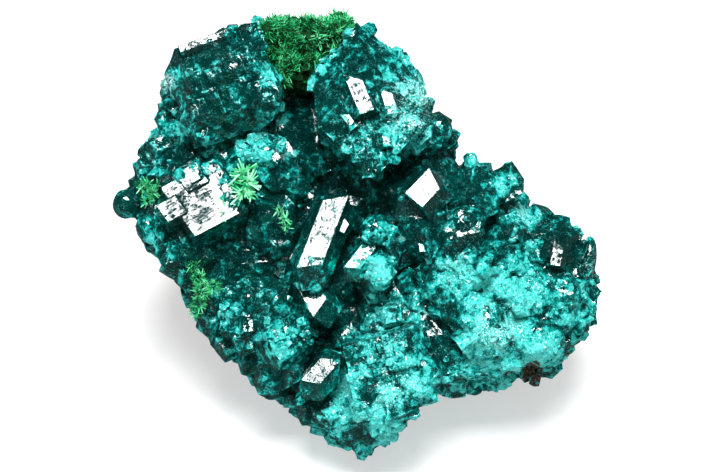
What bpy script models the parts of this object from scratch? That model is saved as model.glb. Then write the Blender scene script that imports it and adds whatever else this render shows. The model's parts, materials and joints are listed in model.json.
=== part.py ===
"""A dioptase specimen: a crust of stubby blue-green crystals on a piece of brown matrix, with sprays of malachite.

The specimen is drawn as seen square on to its display face: across to the right, up the face, and out
towards the viewer, in millimetres from the middle of the face. An empty then leans that face back and stands
the specimen on the flat broken base of its matrix.
"""

import math
import random

import bmesh
import bpy
from mathutils import Matrix, Vector, noise

MM = 0.001
SEED = 7

# How the specimen stands, in millimetres and degrees.
FACE_LEAN = 45.0  # the display face leans back this far from upright
GROUND_SIZE = 120.0
BASE_DROP = 18.5  # from the middle of the display face down to the surface that it stands on
STANDS_AT = (0.4, 2.6)  # the middle of the base box, seen from above
GAP = 0.3  # clearance between pieces that grew against each other
WELD = 0.002  # corners nearer than this become one

# Dioptase: a six-sided prism whose ends have three sloping tip faces, each above a prism edge.
TIP_ANGLE = 51.0  # between the long axis and the direction that a tip face looks
PRISM_SIDES = 6
TIP_FACES = 3

CRUST_FRONT = 1.0  # how far the middle of the bare crust stands out
CRUST_DEPTH = 6.5  # from the middle of the face back to the rock

# The edge of the crystals all round, clockwise from the upper left corner: across, up.
RIM = [
    (-17.6, 18.5), (-14.0, 20.6), (-10.2, 21.4), (-7.0, 21.6), (-3.0, 22.0), (0.4, 21.4),
    (2.8, 19.4), (5.4, 17.8), (6.9, 15.4), (7.8, 12.6), (9.8, 11.6), (9.8, 9.4),
    (11.2, 6.4), (14.3, 6.4), (16.3, 4.2), (17.8, 1.6), (20.6, 1.0), (23.2, 0.1),
    (24.3, -2.4), (24.7, -5.2), (24.1, -9.0), (22.4, -11.4), (20.6, -13.4), (16.4, -14.6),
    (14.4, -15.8), (11.0, -15.9), (7.8, -16.0), (5.4, -18.0), (3.8, -20.2), (0.8, -22.2),
    (-2.2, -20.6), (-5.0, -18.6), (-7.4, -16.9), (-10.3, -15.0), (-12.0, -12.6), (-14.4, -11.2),
    (-16.4, -7.8), (-18.4, -4.6), (-20.4, -1.8), (-22.2, 1.0), (-23.4, 4.0), (-22.4, 7.4),
    (-20.2, 10.4), (-19.6, 13.4), (-18.8, 16.2),
]

BROAD_LUMPS, FINE_LUMPS = 0.31, 0.9  # how closely its lumps follow each other, per millimetre
CRUST_ROUGHNESS = 0.8
CRUST_RINGS = (0.3, 0.6, 0.86)  # the front of the crust, as shares of the rim

# Swells and hollows of the crust under the crystals: across, up, how far out, radius.
RIM_SHARES = (0.0, 0.5)  # where the rim's crystals grow along each stretch of it
SWELLS = [
    (15.0, -8.0, 3.2, 7.0),
    (3.5, -13.5, 3.4, 6.5),
    (-16.0, 4.0, 1.5, 6.0),
    (-6.0, 11.0, -4.5, 3.5),
    (-1.0, -9.0, -3.0, 3.0),
    (6.0, -6.0, -1.0, 2.5),
]

# The matrix behind the crust, as levels through it: its size as a share of the rim, how deep it lies behind
# the crust's back, and how far it is lowered towards the foot.
ROCK_LEVELS = [
    (0.45, -0.9, 0.0),
    (0.84, 0.4, 0.0),
    (0.92, 2.0, 0.0),
    (0.91, 4.8, 0.6),
    (0.85, 8.2, 2.2),
    (0.75, 12.0, 4.2),
    (0.60, 16.0, 6.4),
    (0.38, 19.6, 8.0),
]
ROCK_EDGE = 1.0  # levels nearer the crust than this face it
ROCK_ROUGHNESS = 1.5
ROCK_END = 1.2

# The main crystals. Each is given by one tip face: where its apex is (across, up, out), which way the face
# looks (degrees to the right and up), where the apex lies as seen from the middle of the face (degrees
# anticlockwise from the right), the crystal's radius and its length.
TIPS = {
    "upper_left": ((-10.0, 21.3, 5.0), (-1, 2), 65, 7.0, 17.0),
    "left_bright": ((-15.9, -0.3, 6.0), (0, 21), 256, 5.5, 13.0),
    "left_edge": ((-20.6, 10.0, 0.8), (-25, 12), 118, 3.4, 9.0),
    "middle_dark": ((-5.6, 0.6, 3.4), (-14, -20), 25, 4.6, 12.0),
    "middle_left": ((-8.0, 5.6, 1.6), (-10, 25), 80, 3.2, 9.0),
    "bright_stub": ((6.2, 5.0, 3.4), (-4, 30), 100, 3.0, 9.0),
    "round_pair_upper": ((2.2, 1.9, 4.6), (-12, 5), 110, 1.9, 6.0),
    "round_pair_lower": ((2.7, -1.2, 5.4), (14, -6), 85, 1.8, 7.0),
    "right_of_pair": ((6.4, 3.0, 3.0), (-8, 12), 70, 2.6, 8.0),
    "centre_right": ((11.6, 3.8, 3.6), (-6, 24), 60, 3.2, 9.0),
    "far_ridge": ((9.8, 5.0, 2.0), (10, 20), 40, 2.7, 8.0),
    "ridge_tip": ((15.2, 5.4, 2.2), (22, 16), 20, 3.2, 9.0),
    "ridge_lower": ((16.4, 1.9, 3.0), (18, 5), 70, 2.8, 8.0),
    "ridge_blade": ((17.2, -0.6, 2.8), (35, 0), 60, 2.2, 8.0),
    "right_end": ((23.4, -1.4, 1.0), (-10, 4), 18, 3.7, 10.0),
    "right_lower": ((24.9, -5.6, 0.2), (25, -5), 0, 2.6, 8.0),
    "right_corner": ((24.4, -8.8, 0.2), (28, -20), 330, 2.0, 6.0),
    "drusy_wedge": ((9.0, 0.1, 4.4), (-14, -4), 95, 4.6, 12.0),
    "bottom_block": ((-1.2, -10.8, 6.4), (-3, -2), 150, 5.8, 13.0),
    "bottom_block_right": ((7.6, -10.2, 4.6), (10, -8), 45, 4.2, 11.0),
    "bottom_tip": ((0.9, -22.1, 1.2), (-5, -32), 278, 3.7, 10.0),
    "bottom_left_tip": ((-8.2, -16.2, 1.0), (-20, -25), 265, 3.2, 9.0),
    "lower_left": ((-13.4, -9.4, 3.0), (-22, -10), 215, 3.6, 10.0),
    "lower_left_pale": ((-5.8, -7.2, 4.6), (4, -5), 75, 3.4, 9.0),
    "left_lower_edge": ((-20.2, -0.4, 1.6), (-30, -5), 160, 2.7, 8.0),
    "left_ball": ((-24.3, 3.2, -0.6), (-30, 5), 185, 1.5, 4.0),
    "upper_band": ((-6.6, 9.6, 2.4), (12, 30), 20, 2.6, 9.0),
    "under_band": ((-10.6, 9.0, 2.2), (-4, 34), 150, 2.4, 8.0),
    "upper_shoulder": ((8.8, 8.6, 3.2), (26, 24), 300, 2.5, 9.0),
    "edge_bead_upper": ((9.9, 11.6, 0.4), (30, 10), 20, 1.7, 5.0),
    "edge_bead_lower": ((10.3, 9.2, 0.6), (35, -5), 340, 1.4, 5.0),
}

# Crystals seen from the side, given by one prism face instead: the middle of that face, which way it looks,
# which way the crystal points along it, radius and length.
FLANKS = {
    "upper_right": ((-1.4, 15.5, 5.4), (-35, 34), 98, 6.1, 19.0),
    "centre_strip": ((-3.0, 0.4, 5.4), (4, 22), 69, 2.3, 12.0),
    "bright_face": ((6.9, 4.5, 5.2), (10, 20), 222, 2.3, 7.7),
    "centre_stub": ((0.6, -2.1, 5.4), (2, 20), 52, 1.3, 5.5),
    "striped_block": ((-4.2, -5.3, 4.6), (-2, 18), 118, 2.2, 8.0),
    "bottom_strip": ((-2.5, -16.2, 2.6), (2, 22), 132, 2.1, 8.0),
    "bottom_strip_left": ((-4.6, -16.8, 1.0), (-28, 5), 132, 1.8, 7.5),
    "bright_notch": ((-3.3, -13.3, 5.6), (-8, 20), 48, 1.8, 6.5),
    "left_notch": ((-10.6, -8.6, 3.8), (0, 20), 80, 1.9, 6.5),
}

# Small crystals.
GROWTHS_FROM = 4.0  # crystals of this radius and more have smaller ones in step with them
GROWTHS_EACH = 2
DRUSE_COUNT = 30

# Malachite sprays: middle (across, up, out), radius, the direction that the spray opens.
SPRAYS = {
    "malachite_spray_centre": ((-10.6, 5.4, 5.8), 1.5, (0.1, 0.3, 1.0)),
    "malachite_spray_middle": ((-7.0, 1.4, 5.0), 1.0, (0.1, 0.2, 1.0)),
    "malachite_spray_left": ((-20.5, 4.6, 3.0), 1.3, (-0.4, 0.2, 1.0)),
    "malachite_spray_lower": ((-15.2, -5.0, 3.2), 1.9, (-0.2, 0.1, 1.0)),
}

# The malachite mat between the two big crystals, as the clumps that it is grown from: middle, radius.
MAT_CLUMPS = [
    ((-7.4, 18.8, 0.2), 2.3),
    ((-4.4, 19.2, -0.4), 2.3),
    ((-1.9, 19.6, -0.8), 2.1),
    ((-5.2, 16.4, 0.2), 2.3),
    ((-7.0, 15.0, 0.8), 1.5),
]
MAT_OPENS = (0.0, 0.6, 1.0)
MAT_SPIKE = 1.25  # how far the mat's needles reach, in clump radii
SPRAY_SPIKE = 1.75  # how far a spray's needles reach, in its body's radii


def material(name, colour, roughness):
    """A plain non-metal finish."""
    made = bpy.data.materials.new(name)
    made.use_nodes = True
    shader = made.node_tree.nodes["Principled BSDF"]
    shader.inputs["Base Color"].default_value = (*colour, 1.0)
    shader.inputs["Roughness"].default_value = roughness
    shader.inputs["Metallic"].default_value = 0.0
    made.diffuse_color = (*colour, 1.0)
    return made


def add_object(name, mesh_source, finish=None, to=None):
    """Puts a finished bmesh into the scene, or into a collection of it, as a named object."""
    mesh = bpy.data.meshes.new(name)
    mesh_source.to_mesh(mesh)
    mesh_source.free()
    made = bpy.data.objects.new(name, mesh)
    if finish:
        mesh.materials.append(finish)
    (to or bpy.context.scene.collection).objects.link(made)
    return made


def millimetres(triple):
    return Vector(triple) * MM


def looking(right, up):
    """The unit direction that looks this many degrees right and up of straight out."""
    return Vector((math.tan(math.radians(right)), math.tan(math.radians(up)), 1.0)).normalized()


def along_face(normal, degrees):
    """The unit direction in a face, seen at this angle anticlockwise from the right."""
    turn = math.radians(degrees)
    flat = Vector((math.cos(turn), math.sin(turn)))
    depth = -(flat.x * normal.x + flat.y * normal.y) / normal.z
    return Vector((flat.x, flat.y, depth)).normalized()


def crystal_mesh(radius, length, rng):
    """One closed crystal with its apex at the origin and its axis along +Z. A tip face looks towards +X."""
    bm = bmesh.new()
    flatten = rng.uniform(0.88, 1.08)
    rings = []
    for height in (-length, 0.0):
        ring = []
        for side in range(PRISM_SIDES):
            azimuth = 2 * math.pi * side / PRISM_SIDES
            at = Vector((math.cos(azimuth), math.sin(azimuth) * flatten, 0.0)) * radius
            ring.append(bm.verts.new(at + Vector((0, 0, height))))
        rings.append(ring)
    bm.faces.new(rings[0][::-1])
    bm.faces.new(rings[1])
    for side in range(PRISM_SIDES):
        after = (side + 1) % PRISM_SIDES
        bm.faces.new((rings[0][side], rings[0][after], rings[1][after], rings[1][side]))
    slope = math.radians(TIP_ANGLE)
    for end in (1, -1):
        for face in range(TIP_FACES):
            azimuth = 2 * math.pi * face / TIP_FACES + (0 if end == 1 else math.pi)
            normal = Vector(
                (math.sin(slope) * math.cos(azimuth), math.sin(slope) * math.sin(azimuth), end * math.cos(slope))
            )
            shift = rng.uniform(0.0, 0.10) * radius if face or end == -1 else 0.0
            apex = Vector((0, 0, 0 if end == 1 else -length))
            trim(bm, apex - normal * shift, normal)
    return bm


def trim(bm, point, normal):
    """Cuts away what lies beyond a plane and closes the cut."""
    whole = bm.verts[:] + bm.edges[:] + bm.faces[:]
    cut = bmesh.ops.bisect_plane(bm, geom=whole, dist=1e-7, plane_co=point, plane_no=normal, clear_outer=True)
    edges = [item for item in cut["geom_cut"] if isinstance(item, bmesh.types.BMEdge) and item.is_boundary]
    if edges:
        bmesh.ops.contextual_create(bm, geom=edges)


def turned(normal, axis):
    """The rotation that puts +Z on the axis and turns +X as near to the normal as it goes."""
    across = (normal - axis * normal.dot(axis)).normalized()
    side = axis.cross(across)
    return Matrix((across, side, axis)).transposed().to_4x4()


def place(bm, rotation, at):
    bmesh.ops.transform(bm, matrix=Matrix.Translation(at) @ rotation, verts=bm.verts)
    return bm


def tip_crystal(apex, looks, toward, radius, length, rng):
    """A crystal given by one of its tip faces."""
    normal = looking(*looks)
    slope = math.radians(TIP_ANGLE)
    axis = normal * math.cos(slope) + along_face(normal, toward) * math.sin(slope)
    bm = crystal_mesh(radius * MM, length * MM, rng)
    return place(bm, turned(normal, axis), millimetres(apex))


def flank_crystal(middle, looks, toward, radius, length, rng):
    """A crystal given by one of its prism faces, which lie halfway between the tip faces and the edges."""
    normal = looking(*looks)
    axis = along_face(normal, toward)
    half_side = math.pi / PRISM_SIDES
    rotation = turned(normal, axis) @ Matrix.Rotation(-half_side, 4, "Z")
    bm = crystal_mesh(radius * MM, length * MM, rng)
    apex = millimetres(middle) - normal * radius * MM * math.cos(half_side) + axis * length * MM / 2
    return place(bm, rotation, apex)


def crust_out(across, up):
    """How far the bare crust stands out at a place on the display face, in millimetres."""
    out = CRUST_FRONT
    for at_across, at_up, height, radius in SWELLS:
        squared = ((across - at_across) ** 2 + (up - at_up) ** 2) / radius**2
        out += height * math.exp(-squared)
    return out


def wobble(at):
    """A smooth seeming-random offset for a place."""
    return Vector([noise.noise(at + Vector((shift, 0.0, -shift))) for shift in (0.0, 31.7, 57.1)])


def ring_points(scale, out, rough, push=0.0):
    """The rim drawn smaller about the middle, at one depth, roughened, and pushed outward by a clearance."""
    points = []
    for across, up in RIM:
        at = Vector((across * scale, up * scale, 0.0))
        outward = at.normalized()
        at.z = out(at.x, at.y) if callable(out) else out
        rough_part = wobble(at * BROAD_LUMPS) + wobble(at * FINE_LUMPS) * 0.4
        points.append((at + outward * push + rough_part * rough) * MM)
    return points


def loft(rings, front, back):
    """A closed skin through rings of points, with a middle point to close each end."""
    bm = bmesh.new()
    made = [[bm.verts.new(point) for point in ring] for ring in rings]
    count = len(RIM)
    for upper, lower in zip(made, made[1:]):
        for k in range(count):
            after = (k + 1) % count
            bm.faces.new((upper[k], upper[after], lower[after]))
            bm.faces.new((upper[k], lower[after], lower[k]))
    first, last = bm.verts.new(front), bm.verts.new(back)
    for k in range(count):
        after = (k + 1) % count
        bm.faces.new((first, made[0][after], made[0][k]))
        bm.faces.new((last, made[-1][k], made[-1][after]))
    bmesh.ops.recalc_face_normals(bm, faces=bm.faces[:])
    return bm


def crust():
    """The massive dioptase that all the crystals stand on."""
    rings = [ring_points(scale, crust_out, CRUST_ROUGHNESS) for scale in CRUST_RINGS]
    rings.append(ring_points(0.955, -1.0, CRUST_ROUGHNESS))
    rings.append(ring_points(0.965, -3.0, CRUST_ROUGHNESS))
    rings.append(ring_points(0.93, -CRUST_DEPTH - 2.5, CRUST_ROUGHNESS))
    front = millimetres((0, 0, crust_out(0, 0)))
    return loft(rings, front, millimetres((0, 0, -CRUST_DEPTH - 3.5)))


def rock(grow=0.0):
    """The matrix behind the crust: a broken lump, thicker towards its foot, to be cut flat where it stands."""
    rings = []
    for scale, depth, lowered in ROCK_LEVELS:
        grown = grow if depth < ROCK_EDGE else 0.0
        ring = ring_points(scale, -CRUST_DEPTH - depth, ROCK_ROUGHNESS, grow)
        rings.append([point + Vector((0.0, -lowered, grown)) * MM for point in ring])
    front = millimetres((0, 0, -CRUST_DEPTH - ROCK_LEVELS[0][1] + grow))
    last = ROCK_LEVELS[-1]
    return loft(rings, front, millimetres((0, -last[2], -CRUST_DEPTH - last[1] - ROCK_END)))


def down():
    """Straight down as the specimen stands, in the drawing's own directions."""
    lean = math.radians(FACE_LEAN)
    return Vector((0.0, -math.sin(lean), -math.cos(lean)))


def parallel_growths(apex, looks, toward, radius, length, count, rng):
    """Small crystals grown in step on the faces of a big one, which give it a stepped, tiled face."""
    normal = looking(*looks)
    slope = math.radians(TIP_ANGLE)
    slant = along_face(normal, toward)
    side = normal.cross(slant)
    grown = []
    for _ in range(count):
        size = radius * rng.uniform(0.22, 0.42)
        along = rng.uniform(0.25, 1.25) * radius
        aside = rng.uniform(-0.55, 0.55) * radius
        at = Vector(apex) - slant * along + side * aside + normal * rng.uniform(0.05, 0.09) * radius
        at += slant * size * math.sin(slope) * 0.5
        grown.append(tip_crystal(at, looks, toward, size, length * 0.4, rng))
    return grown


def rim_crystals(rng):
    """Crystals that crowd the edge all round and lean outward over it."""
    grown = []
    count = len(RIM)
    for k, (across, up) in enumerate(RIM):
        following = RIM[(k + 1) % count]
        for share in RIM_SHARES:
            at = Vector((across, up)).lerp(Vector(following), share)
            outward = at.normalized()
            radius = rng.uniform(1.3, 2.1)
            axis = Vector((outward.x, outward.y, rng.uniform(-0.2, 1.1))).normalized()
            apex = Vector((at.x, at.y, rng.uniform(-3.2, -0.4))) + axis * rng.uniform(-0.2, 0.4)
            bm = crystal_mesh(radius * MM, radius * rng.uniform(2.6, 3.4) * MM, rng)
            aim = Vector((rng.uniform(-1, 1), rng.uniform(-1, 1), 1.0)).normalized()
            grown.append(place(bm, turned(aim, axis), millimetres(apex)))
    return grown


def inside_rim(across, up, share):
    """Whether a place lies inside the rim drawn smaller by this share."""
    inside = False
    count = len(RIM)
    for k in range(count):
        x0, y0 = RIM[k][0] * share, RIM[k][1] * share
        x1, y1 = RIM[(k + 1) % count][0] * share, RIM[(k + 1) % count][1] * share
        if (y0 > up) != (y1 > up) and across < (x1 - x0) * (up - y0) / (y1 - y0) + x0:
            inside = not inside
    return inside


def druse(rng, count):
    """Small crystals that stud the crust between the large ones, leaning every way."""
    grown = []
    placed = []
    while len(grown) < count:
        across, up = rng.uniform(-24, 24), rng.uniform(-22, 22)
        if not inside_rim(across, up, 0.9):
            continue
        if any((across - x) ** 2 + (up - y) ** 2 < 2.3**2 for x, y in placed):
            if rng.random() < 0.97:
                continue
        placed.append((across, up))
        radius = rng.uniform(1.1, 2.0)
        axis = Vector((rng.uniform(-0.8, 0.8), rng.uniform(-0.8, 0.8), 1.0)).normalized()
        apex = Vector((across, up, crust_out(across, up) + radius * rng.uniform(0.7, 1.3)))
        bm = crystal_mesh(radius * MM, radius * 3.0 * MM, rng)
        aim = Vector((rng.uniform(-1, 1), rng.uniform(-1, 1), 0.2)).normalized()
        grown.append(place(bm, turned(aim, axis), millimetres(apex)))
    return grown


def all_crystals():
    """Every crystal of the cluster, each a closed shape of its own."""
    rng = random.Random(SEED)
    grown = []
    for name, (apex, looks, toward, radius, length) in TIPS.items():
        grown.append(tip_crystal(apex, looks, toward, radius, length, rng))
        if radius > GROWTHS_FROM:
            grown += parallel_growths(apex, looks, toward, radius, length, GROWTHS_EACH, rng)
    for middle, looks, toward, radius, length in FLANKS.values():
        grown.append(flank_crystal(middle, looks, toward, radius, length, rng))
    grown += rim_crystals(rng)
    grown += druse(rng, DRUSE_COUNT)
    return grown


def spray(middle, radius, opens, rng, spike, fineness):
    """A ball with a spiky front: the middle of each face that looks towards the opening is drawn out."""
    bm = bmesh.new()
    bmesh.ops.create_icosphere(bm, subdivisions=fineness, radius=radius * MM)
    opens = Vector(opens).normalized()
    facing = [face for face in bm.faces if face.calc_center_median().normalized().dot(opens) > 0.05]
    tips = bmesh.ops.poke(bm, faces=facing)["verts"]
    for tip in tips:
        tip.co = tip.co.normalized() * radius * MM * spike * rng.uniform(0.75, 1.0)
    bmesh.ops.translate(bm, verts=bm.verts, vec=millimetres(middle))
    return bm


def ball(radius, at):
    bm = bmesh.new()
    bmesh.ops.create_icosphere(bm, subdivisions=2, radius=radius * MM)
    bmesh.ops.translate(bm, verts=bm.verts, vec=millimetres(at))
    return bm


def combine(obj, pieces, operation):
    """Joins or cuts obj by closed shapes, and keeps the result as obj's own mesh."""
    tools = bpy.data.collections.new("tools")
    bpy.context.scene.collection.children.link(tools)
    for piece in pieces:
        tool = add_object("tool", piece, to=tools)
        tool.hide_render = True
    modifier = obj.modifiers.new(operation.lower(), "BOOLEAN")
    modifier.operation = operation
    modifier.solver = "MANIFOLD"
    modifier.operand_type = "COLLECTION"
    modifier.collection = tools
    graph = bpy.context.evaluated_depsgraph_get()
    mesh = bpy.data.meshes.new_from_object(obj.evaluated_get(graph))
    obj.modifiers.clear()
    obj.data = mesh
    for tool in list(tools.objects):
        bpy.data.objects.remove(tool)
    bpy.data.collections.remove(tools)


def ground():
    """A block that fills all below the surface that the specimen stands on, as a cutter."""
    bm = bmesh.new()
    bmesh.ops.create_cube(bm, size=GROUND_SIZE * MM)
    drop = down()
    place(bm, drop.to_track_quat("Z", "Y").to_matrix().to_4x4(), drop * (BASE_DROP + GROUND_SIZE / 2) * MM)
    return bm


def keep_main_body(obj):
    """Drops the chips that a cut leaves loose, or hanging by a single edge."""
    bm = bmesh.new()
    bm.from_mesh(obj.data)
    bmesh.ops.triangulate(bm, faces=bm.faces[:])
    bmesh.ops.remove_doubles(bm, verts=bm.verts, dist=WELD * MM)
    left = set(bm.faces)
    bodies = []
    while left:
        body = [left.pop()]
        for face in body:
            for edge in face.edges:
                beyond = [other for other in edge.link_faces if other in left]
                if len(edge.link_faces) == 2 and beyond:
                    left.remove(beyond[0])
                    body.append(beyond[0])
        bodies.append(body)
    bodies.sort(key=len)
    chips = [face for body in bodies[:-1] for face in body]
    bmesh.ops.delete(bm, geom=chips, context="FACES")
    bm.to_mesh(obj.data)
    bm.free()


def build():
    for obj in list(bpy.data.objects):
        bpy.data.objects.remove(obj)
    green = material("dioptase", (0.01, 0.22, 0.20), 0.15)
    brown = material("matrix", (0.16, 0.10, 0.07), 0.85)
    leaf = material("malachite", (0.06, 0.42, 0.18), 0.6)

    cluster = add_object("dioptase_cluster", crust(), green)
    combine(cluster, all_crystals(), "UNION")
    combine(cluster, [rock(GAP), ground()], "DIFFERENCE")
    base = add_object("matrix_rock", rock(), brown)
    combine(base, [ground()], "DIFFERENCE")

    rng = random.Random(SEED + 1)
    pockets, sprays = [], []
    for name, (middle, radius, opens) in SPRAYS.items():
        sprays.append(add_object(name, spray(middle, radius, opens, rng, SPRAY_SPIKE, 2), leaf))
        pockets.append(ball(radius + GAP, middle))
        ahead = Vector(middle) + Vector(opens).normalized() * radius * 1.3
        pockets.append(ball(radius * 1.6 + GAP, ahead))
    clumps = []
    for middle, radius in MAT_CLUMPS:
        clumps.append(spray(middle, radius, MAT_OPENS, rng, MAT_SPIKE, 2 if radius > 2.0 else 1))
        pockets.append(ball(radius * MAT_SPIKE + GAP, middle))
    mat = add_object("malachite_mat", clumps.pop(0), leaf)
    combine(mat, clumps, "UNION")
    combine(cluster, pockets, "DIFFERENCE")
    keep_main_body(cluster)
    keep_main_body(mat)

    stand = bpy.data.objects.new("specimen", None)
    bpy.context.scene.collection.objects.link(stand)
    stand.location = (-STANDS_AT[0] * MM, -STANDS_AT[1] * MM, BASE_DROP * MM)
    stand.rotation_euler = (math.radians(FACE_LEAN), 0.0, 0.0)
    for obj in (cluster, mat, base, *sprays):
        obj.parent = stand


build()
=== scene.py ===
import json
import math
import random

import bpy
from mathutils import Matrix, Vector, noise

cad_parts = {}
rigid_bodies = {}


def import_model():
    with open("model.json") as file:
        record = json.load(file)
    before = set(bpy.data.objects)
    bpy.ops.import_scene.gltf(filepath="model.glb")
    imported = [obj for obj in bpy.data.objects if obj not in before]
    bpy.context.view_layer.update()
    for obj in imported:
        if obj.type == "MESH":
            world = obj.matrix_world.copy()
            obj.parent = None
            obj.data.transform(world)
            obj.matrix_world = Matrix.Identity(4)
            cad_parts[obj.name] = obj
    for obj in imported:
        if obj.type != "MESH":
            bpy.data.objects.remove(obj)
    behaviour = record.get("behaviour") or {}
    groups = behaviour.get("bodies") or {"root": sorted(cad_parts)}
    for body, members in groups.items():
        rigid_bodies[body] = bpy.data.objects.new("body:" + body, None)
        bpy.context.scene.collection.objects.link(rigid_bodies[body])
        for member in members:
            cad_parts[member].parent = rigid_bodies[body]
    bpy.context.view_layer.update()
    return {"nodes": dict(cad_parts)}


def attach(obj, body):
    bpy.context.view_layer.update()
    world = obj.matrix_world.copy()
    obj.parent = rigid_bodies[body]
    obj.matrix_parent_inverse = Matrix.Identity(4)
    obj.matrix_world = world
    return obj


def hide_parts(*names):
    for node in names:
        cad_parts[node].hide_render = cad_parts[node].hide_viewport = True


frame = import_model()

bpy.ops.object.select_all(action="DESELECT")

# Camera and studio.
# The camera looks square on to the crystal face, which leans back 45 degrees. One large soft light hangs
# over the specimen and mirrors in every facet that faces halfway between it and the camera.

MM = 0.001
FACE_LEAN = math.radians(45.0)
LEAN_BACK = Matrix.Rotation(FACE_LEAN, 3, "X")
FACE_MIDDLE = Vector((-0.4, -2.6, 18.5)) * MM
CAMERA_AWAY, LENS, SENSOR = 295.0, 150.0, 36.0  # in millimetres
LIGHT_RAISED = 40.0  # degrees above straight out of the crystal face
LIGHT_AWAY, LIGHT_SIDE, LIGHT_POWER = 1.0, 0.45, 14.0  # in metres and watts
FLOOR_SIDE, FLOOR_ROUGHNESS = 3.0, 0.9  # the side in metres
WHITE = (1.0, 1.0, 1.0, 1)
# The world and the floor are darker in reflections, so that they leave no grey sheen on the facets.
WORLD_STRENGTH, MIRRORED_WORLD = 0.35, 0.03
FLOOR_GREY, MIRRORED_GREY = (0.5, 0.5, 0.5, 1), (0.0864, 0.0864, 0.0864, 1)
FLOOR_GLOW, MIRRORED_GLOW = 0.45, 0.02


def on_face(across, up, out=0.0):
    """The place this far right, up and out of the middle of the crystal face, in metres."""
    return FACE_MIDDLE + LEAN_BACK @ (Vector((across, up, out)) * MM)


def looking(right, up):
    """The unit direction this many degrees right and up of straight out of the crystal face."""
    flat = Vector((math.tan(math.radians(right)), math.tan(math.radians(up)), 1.0)).normalized()
    return LEAN_BACK @ flat


def node(tree, kind, feeds=None, **settings):
    """A node with its settings, its inputs set to plain values or fed from other nodes' sockets."""
    made = tree.nodes.new(kind if "Node" in kind else "ShaderNode" + kind)
    for name, value in settings.items():
        setattr(made, name, value)
    for name, value in (feeds or {}).items():
        if isinstance(value, bpy.types.NodeSocket):
            tree.links.new(value, made.inputs[name])
        else:
            made.inputs[name].default_value = value
    return made


def mix_colour(tree, factor, first, second):
    """The first colour where the factor is nought, and the second where it is one."""
    return node(tree, "Mix", {0: factor, 6: first, 7: second}, data_type="RGBA").outputs[2]


OUTWARD = looking(0, 0)
bpy.ops.object.camera_add(location=on_face(0, 0, CAMERA_AWAY), rotation=(FACE_LEAN, 0, 0))
camera = bpy.context.object
camera.data.lens = LENS
camera.data.sensor_width = SENSOR
camera.data.clip_start = 0.01
bpy.context.scene.camera = camera
bpy.context.scene.view_settings.view_transform = "Standard"
bpy.context.scene.view_settings.look = "Medium High Contrast"

to_light = looking(0, LIGHT_RAISED)
bpy.ops.object.light_add(type="AREA", location=FACE_MIDDLE + to_light * LIGHT_AWAY)
lamp = bpy.context.object
lamp.name = "overhead_light"
lamp.rotation_euler = to_light.to_track_quat("Z", "Y").to_euler()
lamp.data.size = LIGHT_SIDE
lamp.data.energy = LIGHT_POWER

studio = bpy.data.worlds.new("studio")
bpy.context.scene.world = studio
studio.use_nodes = True
tree = studio.node_tree
mirrored = node(tree, "LightPath").outputs["Is Glossy Ray"]
strengths = {"Value": mirrored, "To Min": WORLD_STRENGTH, "To Max": MIRRORED_WORLD}
background = tree.nodes["Background"]
background.inputs["Color"].default_value = WHITE
tree.links.new(node(tree, "MapRange", strengths).outputs["Result"], background.inputs["Strength"])

bpy.ops.mesh.primitive_plane_add(size=FLOOR_SIDE, location=(0, 0, 0))
floor = bpy.context.object
floor.name = "floor"
paper = bpy.data.materials.new("light_table")
paper.use_nodes = True
tree = paper.node_tree
sheet = tree.nodes["Principled BSDF"]
sheet.inputs["Roughness"].default_value = FLOOR_ROUGHNESS
sheet.inputs["Emission Color"].default_value = WHITE
mirrored = node(tree, "LightPath").outputs["Is Glossy Ray"]
tree.links.new(mix_colour(tree, mirrored, FLOOR_GREY, MIRRORED_GREY), sheet.inputs["Base Color"])
glows = {"Value": mirrored, "To Min": FLOOR_GLOW, "To Max": MIRRORED_GLOW}
tree.links.new(node(tree, "MapRange", glows).outputs["Result"], sheet.inputs["Emission Strength"])
floor.data.materials.append(paper)

# Crystal mass.
# All the large dioptase crystals and the crust that they stand on, grown together in one solid. Small
# crystals in step with the large ones are joined on, and the surface is roughened where it is drusy.

TIP_ANGLE = math.radians(51.0)  # between a crystal's long axis and the direction that a tip face looks
CRYSTAL_LENGTH = 3.0  # of the pattern crystal, in its own radii
FACE_CENTRE = 0.8  # from the tip to the middle of a tip face, in radii
HALF_SIDE = math.radians(30)  # from a corner of the six-sided prism to the middle of its side
SAME_WAY = 0.97  # cosine of how far the surface under a growth may look another way than its face
PROUD = (0.03, 0.12)  # least and most that a growth stands out of its face, in millimetres
IN_STEP_WANDER, SIDE_WANDER, RIM_WANDER = 1.5, 2.0, 0.3  # degrees, degrees, and a share of the axis
LOOK_FROM = 40.0  # how far out of the face a look at the crystals starts, in millimetres
STUBBY, SLENDER = 2.5, 5.0  # lengths of growths, in radii
WELD = 0.002  # corners nearer than this are one, in millimetres
GROWTH_SEED = 11

# Sloping growths on the faces of the large crystals: across, up and reach of the face, the way it looks in
# degrees right and up, the way its crystals point, how many there are, smallest and largest radius.
IN_STEP = [
    (-11.5, 14.0, 6.0, (-1, 2), 65, 22, 0.4, 1.6),
    (-15.6, 0.6, 2.6, (0, 21), 256, 4, 0.7, 1.5),
    (-1.2, -10.8, 5.0, (-3, -2), 150, 24, 0.3, 0.9),
    (7.6, -10.2, 4.5, (10, -8), 45, 20, 0.3, 0.9),
    (-7.0, -0.5, 4.5, (-14, -20), 25, 26, 0.3, 0.8),
    (6.2, 3.6, 3.2, (-4, 30), 100, 16, 0.3, 0.7),
    (8.6, -1.6, 4.0, (-14, -4), 95, 30, 0.25, 0.7),
    (22.0, -3.0, 3.2, (-10, 4), 18, 16, 0.3, 0.8),
    (12.0, 3.0, 3.0, (-6, 24), 60, 14, 0.3, 0.7),
    (-5.6, -8.0, 3.2, (4, -5), 75, 26, 0.25, 0.7),
    (-13.4, -9.4, 3.2, (-22, -10), 215, 22, 0.3, 0.8),
]

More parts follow.
